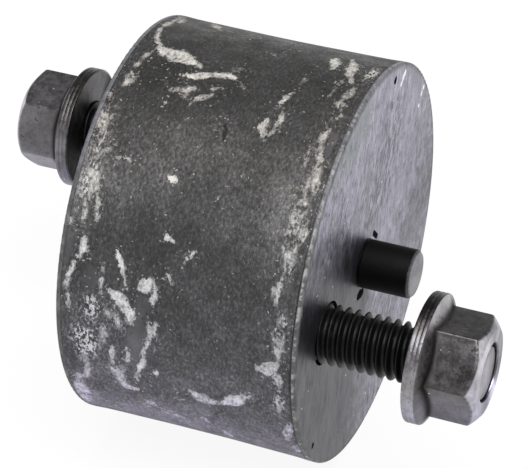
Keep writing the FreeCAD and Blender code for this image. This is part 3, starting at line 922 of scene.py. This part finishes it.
def scuffed_rubber():
    """Black rubber, greyed with age and grained like a casting. Chalky scuffs lie on it as torn films
    of uneven white, with crumbs, specks, black score lines, smooth flakes and soft bloom. Painted
    sheen and reflection lie in soft patches with the bloom, painted shade in the grain's hollows among
    the crumbs, and a painted lilac reflection low down."""
    shader = Shader("scuffed_rubber")
    height = shader.axis("Z")
    lengthwise = shader.stretched((1.6, 1, 1))
    blotch = shader.noise(13, detail=5, roughness=0.6)
    patch = shader.noise(4.0, detail=5, roughness=0.65)
    grain = shader.noise(0.85, detail=4, roughness=0.75, place=lengthwise)
    speck = shader.noise(0.62, detail=1, roughness=0.5)
    ragged = shader.noise(2.4, detail=5, roughness=0.65)
    fray = shader.noise(1.0, detail=4, roughness=0.7, place=lengthwise)
    haze = shader.attribute("haze")
    crumbs = shader.attribute("crumbs")
    flake = shader.between(shader.attribute("flake_gap") + (ragged - 0.5) * 2.0, 0.12, -0.12)
    # The tone takes the patches of rub and painted sheen and reflection from the mesh.
    tone = ((blotch - 0.5) * 0.40 + (patch - 0.5) * 0.30 + (grain - 0.5) * (1.3 - flake * 1.1)
            + haze * 0.15 + flake * 0.06 + 0.48)
    base = shader.ramp(tone, (0.15, 0.004), (0.42, 0.020),
                       (0.58, (0.048, 0.048, 0.049)), (0.80, (0.135, 0.135, 0.137)),
                       (1.0, 0.30))
    gap = shader.attribute("chalk_gap")
    strength = shader.attribute("chalk_strength")
    dust = shader.between(gap, 3.0, 0.0, 0.0, 0.07)
    chips = shader.between(speck + dust + crumbs * 0.08, 0.73, 0.78)
    base = shader.blend(chips * 0.8, base, (0.34, 0.34, 0.33))
    flecks = shader.between(fray + (ragged - 0.5) * 0.4 + crumbs * 0.12, 0.585, 0.645)
    # Painted shade: among the crumbs the grain's hollows are painted near black.
    shaded_hollows = shader.between(grain + (fray - 0.5) * 0.4 - crumbs * 0.06, 0.47, 0.40)
    base = shader.blend(shaded_hollows * shader.between(crumbs, 0.2, 1.0), base, 0.006)
    torn = gap + (ragged - 0.5) * 3.0 + (fray - 0.5) * 2.8
    film = shader.between(torn, 0.16, -0.20)
    cover = shader.between(fray * 0.6 + patch * 0.4 + shader.absolute(strength) * 0.26, 0.50, 0.66)
    bright = strength * 0.50 + (fray - 0.5) * 1.5 + (patch - 0.5) * 0.9
    pale = shader.ramp(bright, (0.0, 0.006), (0.12, 0.10), (0.36, (0.29, 0.29, 0.28)),
                       (0.66, (0.62, 0.62, 0.60)))
    chalk = film * cover
    base = shader.blend(flecks * shader.between(crumbs, 0.1, 0.9), base, (0.52, 0.52, 0.51))
    base = shader.blend(chalk, base, pale)
    seam = shader.between(shader.before_seam(), SEAM_WIDTH * MM, 0) * shader.seam_depth(ragged)
    base = shader.blend(seam, base, 0.004)
    # Painted reflection: lilac towards the bottom, as if lit by the floor, and a little warmer and
    # darker at the top.
    tint = shader.ramp(height * (0.5 / (BLOCK_RADIUS * MM)) + 0.5, (0.15, (1.08, 0.95, 1.44)),
                       (0.45, (1.04, 1.02, 1.15)), (0.72, (1.03, 1.03, 1.06)),
                       (0.92, (1.0, 0.95, 0.92)))
    base = shader.blend(1.0, base, tint, "MULTIPLY")
    relief = grain * (0.9 - flake * 0.8) + patch * 0.4 + chalk * (fray * 0.7 + 0.3)
    rough = shader.between(patch, 0.3, 0.7, 0.62, 0.44)
    return shader.finish(Base_Color=base, Roughness=rough, Normal=shader.bump(relief, 0.42))


def rolled_steel():
    """Bare rolled plate: a lilac-grey sheen, short slanting dashes and fine streaks, pits and glints.
    It is darkened round its parts and towards the bottom, grime with painted shadow and painted
    reflection of the parts, and the dark coat of the block's side laps over its rim."""
    shader = Shader("rolled_steel")
    across, up = shader.axis("Y"), shader.axis("Z")
    wander = shader.noise(24, detail=2)
    streak = shader.noise(9, detail=5, roughness=0.7, place=shader.stretched((1, 2.2, 1), 0.15))
    fine = shader.noise(3.2, detail=4, roughness=0.7, place=shader.stretched((1, 2.2, 0.7), 0.25))
    patch = shader.noise(20, detail=4, roughness=0.6)
    mottle = shader.noise(3.0, detail=4, roughness=0.7)
    dash = shader.noise(2.4, detail=3, roughness=0.65, place=shader.stretched((1, 2.6, 0.9), 0.40))
    pits = shader.noise(1.5, detail=2, roughness=0.6, place=shader.stretched((1, 1.6, 0.7), 0.10))
    glint = shader.noise(0.9, detail=1)
    colour = shader.blend(shader.between(streak, 0.30, 0.70), (0.170, 0.164, 0.202),
                          (0.365, 0.350, 0.430))
    colour = shader.blend(shader.between(fine, 0.42, 0.75, 0, 0.8), colour, (0.60, 0.580, 0.700))
    colour = shader.blend(shader.between(mottle, 0.48, 0.75, 0, 0.6), colour, (0.13, 0.127, 0.147))
    green = shader.spots(across, up, PLATE_PATINA)
    green = shader.between(green + (mottle - 0.5) * 2.4, 0.35, 1.0)
    colour = shader.blend(green * 0.5, colour, (0.205, 0.245, 0.228))
    dashes = shader.between(dash + (wander - 0.5) * 0.5 - across * 1.2, 0.54, 0.64)
    colour = shader.blend(dashes * 0.80, colour, (0.070, 0.068, 0.082))
    # Painted shade with grime: darker round the parts and towards the bottom.
    soil = shader.spots(across, up, PLATE_SOIL_AND_PAINTED_SHADE) + shader.between(up, 0.036, -0.036) * 0.45
    soil = shader.between(soil + (patch - 0.5) * 0.9 + (mottle - 0.5) * 1.1, 0.10, 1.15)
    colour = shader.blend(soil * 0.92, colour, (0.052, 0.051, 0.060))
    colour = shader.blend(shader.between(pits + soil * 0.04, 0.66, 0.74), colour,
                          (0.05, 0.05, 0.056))
    colour = shader.blend(shader.between(glint, 0.77, 0.82), colour, (0.85, 0.85, 0.88))
    nicks = shader.spots(across, up, PLATE_NICKS)
    nicks = shader.between(nicks + (pits - 0.5) * 1.2, 0.45, 0.60)
    colour = shader.blend(nicks, colour, (0.90, 0.90, 0.92))
    black_marks = shader.spots(across, up, PLATE_BLACK_MARKS)
    black_marks = shader.between(black_marks + (pits - 0.5) * 1.1, 0.26, 0.46)
    rim = shader.length(across, up) + (mottle - 0.5) * 0.0022 + (dash - 0.5) * 0.0012
    coat = shader.between(rim, *((BLOCK_RADIUS - short) * MM for short in RIM_LAP))
    coat = coat * shader.between(up + (mottle - 0.5) * 0.02, 0.040, 0.022, 0.72, 1)
    coat_tone = shader.ramp(pits * 0.6 + mottle * 0.6, (0.35, (0.03, 0.03, 0.031)),
                            (0.6, (0.070, 0.070, 0.073)), (0.85, 0.19))
    colour = shader.blend(coat, colour, coat_tone)
    past = shader.before_seam() * -1
    chipped = shader.between(past, 0.0010, 0.0003) * shader.between(mottle + (glint - 0.5) * 1.1,
                                                                    0.50, 0.66, 0, 0.8)
    colour = shader.blend(coat * chipped * shader.between(past, 0.0001, 0.0003), colour,
                          0.34)
    seam = shader.between(past, SEAM_WIDTH * MM, 0) * shader.between(past, -0.001, -0.0005)
    colour = shader.blend(seam * coat * shader.seam_depth(mottle), colour, 0.004)
    rough = shader.between(streak + (fine - 0.5) * 0.6, 0.3, 0.8, 0.36, 0.52)
    return shader.finish(matt_black=black_marks, Base_Color=colour, Metallic=(1 - coat) * 0.85,
                         Roughness=rough + coat * 0.15,
                         Normal=shader.bump(fine + pits * 0.5 + dash * 0.8, 0.07))


def phosphated_nut(name, painted_lift):
    """Dark phosphated steel of the nuts: satin grey-black flats with pits and small white nicks, a
    brighter turned crown and bore, worn edges with painted highlights, painted light and shade round
    the flange and the end, a painted lilac reflection low down, and painted shade in the inner corner
    at the flange, deep in the bore and under the flange. The painted_lift, from 0, makes the whole
    paler: painted light on a copy of the finish."""
    shader = Shader(name)
    blotch = shader.noise(6, detail=5, roughness=0.65)
    mottle = shader.noise(1.6, detail=4, roughness=0.7)
    nick = shader.noise(1.1, detail=1, roughness=0.5)
    turned = shader.attribute("turned")
    # The mesh's tone and the painted_lift are painted light and shade; the blotches, mottle and turned
    # crown are the steel's own.
    tone = blotch * 0.5 + mottle * 0.5 + turned * 0.38 + shader.attribute("tone") + painted_lift
    colour = shader.ramp(tone * 0.8, (0.16, (0.030, 0.028, 0.027)), (0.24, (0.052, 0.049, 0.047)),
                         (0.40, (0.125, 0.121, 0.124)), (0.56, (0.235, 0.230, 0.246)),
                         (0.72, (0.46, 0.455, 0.475)), (0.88, (0.80, 0.80, 0.79)))
    # Painted highlights with edge wear on the corners, the crown's edge and the rim.
    edge = shader.attribute("edge") * shader.between(mottle, 0.38, 0.60, 0.2, 1)
    colour = shader.blend(edge * 0.6, colour, (0.36, 0.36, 0.375))
    spots = shader.between(mottle, 0.60, 0.68, 0, 0.7) * (1 - turned)
    colour = shader.blend(spots, colour, 0.020)
    colour = shader.blend(shader.between(nick, 0.77, 0.81), colour, (0.80, 0.80, 0.81))
    # Painted reflection: paler and lilac low down, as if lit by the floor.
    low = shader.between(shader.axis("Z"), 0.002, -0.006, turned * 0.35, 1)
    tint = shader.blend(low, (1.0, 0.98, 0.97), (1.08, 1.05, 1.26))
    colour = shader.blend(1.0, colour, tint, "MULTIPLY")
    soil = shader.between(shader.attribute("soil") + (mottle - 0.5) * 2.0, 0.40, 0.60)
    colour = shader.blend(soil * 0.8, colour, (0.028, 0.028, 0.030))
    # Painted shade in the inner corner at the flange, deep in the bore and on the seat.
    recess_shade = shader.attribute("crease")
    colour = shader.blend(recess_shade * 0.92, colour, 0.010)
    rough = shader.between(mottle, 0.3, 0.7, 0.30, 0.46)
    return shader.finish(Base_Color=colour, Metallic=1.0, Roughness=rough + recess_shade * 0.3,
                         Normal=shader.bump(mottle, 0.06))


def blackened_steel(name, dark, worn, roughness, sign, end_x, end_colour):
    """Blackened steel: a dark coat with small specks and grey wear, and a painted lilac reflection
    that makes it paler low down. The flat end at end_x millimetres, which sign says faces +x or -x, is
    ground bare in end_colour, and the coat is thin on the edge round it."""
    shader = Shader(name)
    blotch = shader.noise(5, detail=5, roughness=0.65)
    speck = shader.noise(0.8, detail=3, roughness=0.7)
    wear = shader.between(blotch + (speck - 0.5) * 0.5, 0.55, 0.85)
    colour = shader.blend(wear, dark, worn)
    colour = shader.blend(shader.between(speck, 0.74, 0.80), colour, 0.30)
    rough = shader.between(blotch, 0.3, 0.7, roughness - 0.06, roughness + 0.06)
    # Painted reflection: paler and lilac low down, as if lit by the floor.
    low = shader.between(shader.axis("Z"), 0.0, -0.006)
    colour = shader.blend(low, colour, shader.blend(1.0, colour, (1.5, 1.45, 1.75), "MULTIPLY"))
    along = shader.axis("X") * sign + (speck - 0.5) * 0.0004 + (blotch - 0.5) * 0.0004
    bare = shader.between(along, *((end_x * sign - short) * MM for short in COAT_THINS))
    tint = shader.blend(shader.between(blotch, 0.35, 0.65), end_colour,
                        tuple(0.75 * value for value in end_colour))
    colour = shader.blend(bare, colour, shader.blend(1.0, tint, (0.36, 0.36, 0.38), "MULTIPLY"))
    flat = shader.between(along, *((end_x * sign - short) * MM for short in COAT_ENDS))
    colour = shader.blend(flat, colour, tint)
    return shader.finish(Base_Color=colour, Metallic=0.85, Roughness=rough,
                         Normal=shader.bump(speck, 0.05))


# ---------------------------------------------------------------- stage, light and camera

CAMERA_AZIMUTH = math.radians(21.5)
CAMERA_ELEVATION = math.radians(36.0)
CAMERA_DISTANCE = 0.540
CAMERA_LENS = 180.8
AIM_RIGHT = 0.00215
AIM_UP = 0.00062
WORLD_LIGHT = 0.55
HORIZON_TOP = 0.03
CEILING_FROM = 0.30
CEILING_TONE = 0.28
FLOOR_SIZE = 3.0
FLOOR_GLOW = 0.92
KEY_PLACE = (0.25, -0.30, 0.95)
KEY_SIZE = 0.8
KEY_POWER = 13


def camera_frame():
    """The camera's forward, right and up unit vectors, from its azimuth and elevation."""
    flat = math.cos(CAMERA_ELEVATION)
    forward = Vector((-math.sin(CAMERA_AZIMUTH) * flat, math.cos(CAMERA_AZIMUTH) * flat,
                      -math.sin(CAMERA_ELEVATION)))
    right = forward.cross(Vector((0, 0, 1))).normalized()
    return forward, right, right.cross(forward)


def look_along(item, place, forward, right, up):
    """Put a camera or a light at a place, facing forward."""
    item.matrix_world = Matrix((
        (right.x, up.x, -forward.x, place.x), (right.y, up.y, -forward.y, place.y),
        (right.z, up.z, -forward.z, place.z), (0, 0, 0, 1)))


def make_camera():
    """The camera, which looks at the block's middle, a little to the right of it and above."""
    forward, right, up = camera_frame()
    middle = Vector((BLOCK_LENGTH / 2 * MM, 0, 0))
    data = bpy.data.cameras.new("camera")
    data.lens = CAMERA_LENS
    data.sensor_width = 36
    data.clip_start = 0.01
    camera = bpy.data.objects.new("camera", data)
    bpy.context.scene.collection.objects.link(camera)
    aim = middle + right * AIM_RIGHT + up * AIM_UP
    look_along(camera, aim - forward * CAMERA_DISTANCE, forward, right, up)
    bpy.context.scene.camera = camera


def area_light(name, place, target, size, power):
    """A soft square light that faces a point; places are in metres and power in watts."""
    data = bpy.data.lights.new(name, "AREA")
    data.shape = "SQUARE"
    data.size = size
    data.energy = power
    light = bpy.data.objects.new(name, data)
    bpy.context.scene.collection.objects.link(light)
    forward = (Vector(target) - Vector(place)).normalized()
    right = forward.cross(Vector((0, 0, 1))).normalized()
    look_along(light, Vector(place), forward, right, right.cross(forward))


def make_world():
    """White round the horizon and grey overhead to the camera, in reflections and through glass, and
    a plain soft grey as light."""
    world = bpy.data.worlds.new("studio")
    world.use_nodes = True
    shader = Shader("studio", world.node_tree)
    upward = shader.node("TexCoord", output="Generated")
    rise = shader.node("SeparateXYZ", {}, {"Vector": upward}, "Z")
    sky = shader.between(rise, HORIZON_TOP, CEILING_FROM, 1.0, CEILING_TONE)
    seen = shader.seen()
    strength = seen * sky + (1 - seen) * WORLD_LIGHT
    background = shader.node("Background", {}, {"Color": (1, 1, 1, 1), "Strength": strength})
    output = shader.tree.nodes.new("ShaderNodeOutputWorld")
    shader.tree.links.new(background.socket, output.inputs["Surface"])
    bpy.context.scene.world = world


def make_floor():
    """A pale floor under the block, white but for a faint shadow where it is seen."""
    shader = Shader("pale_floor")
    mottle = shader.noise(60, detail=2)
    colour = shader.blend(mottle, 0.86, 0.90)
    surface = shader.node("BsdfPrincipled", {}, {"Base Color": colour, "Roughness": 0.9,
                                                 "Specular IOR Level": 0.0})
    seen = shader.seen()
    glow = shader.node("Emission", {}, {"Color": (1, 1, 1, 1), "Strength": 1.0})
    mixed = shader.node("MixShader", {}, {0: seen * FLOOR_GLOW, 1: surface, 2: glow})
    shader.node_output(mixed)
    low = rubber_low[2] * MM
    half = FLOOR_SIZE / 2
    corners = [(-half, -half, low), (half, -half, low), (half, half, low), (-half, half, low)]
    mesh = bpy.data.meshes.new("floor")
    mesh.from_pydata(corners, [], [(0, 1, 2, 3)])
    mesh.materials.append(shader.material)
    floor = bpy.data.objects.new("floor", mesh)
    bpy.context.scene.collection.objects.link(floor)


# ---------------------------------------------------------------- making

make_rubber_block(scuffed_rubber())
# The plain end's nut takes a paler copy of the same finish: painted light.
for end, painted_lift in ((PINNED_END, 0.0), (PLAIN_END, 0.09)):
    make_stud(end, blackened_steel(
        f"{end.name}_end_stud_black", dark=0.012, worn=(0.042, 0.042, 0.044), roughness=0.46,
        sign=end.sign, end_x=end.stud_top, end_colour=(0.42, 0.41, 0.45)))
    make_nut(end, phosphated_nut(f"{end.name}_end_nut_phosphate", painted_lift))
make_locating_pin(blackened_steel(
    "pin_black", dark=0.005, worn=0.013, roughness=0.62,
    sign=1, end_x=box_mm("locating_pin")[1][0], end_colour=(0.34, 0.34, 0.355)))

steel = rolled_steel()
for name in ("pinned_end_plate", "plain_end_plate"):
    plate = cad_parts[name]
    plate.data.materials.clear()
    plate.data.materials.append(steel)

make_camera()
make_world()
make_floor()
area_light("key", KEY_PLACE, (BLOCK_LENGTH / 2 * MM, 0, 0), KEY_SIZE, KEY_POWER)

bpy.context.scene.view_settings.view_transform = "Standard"
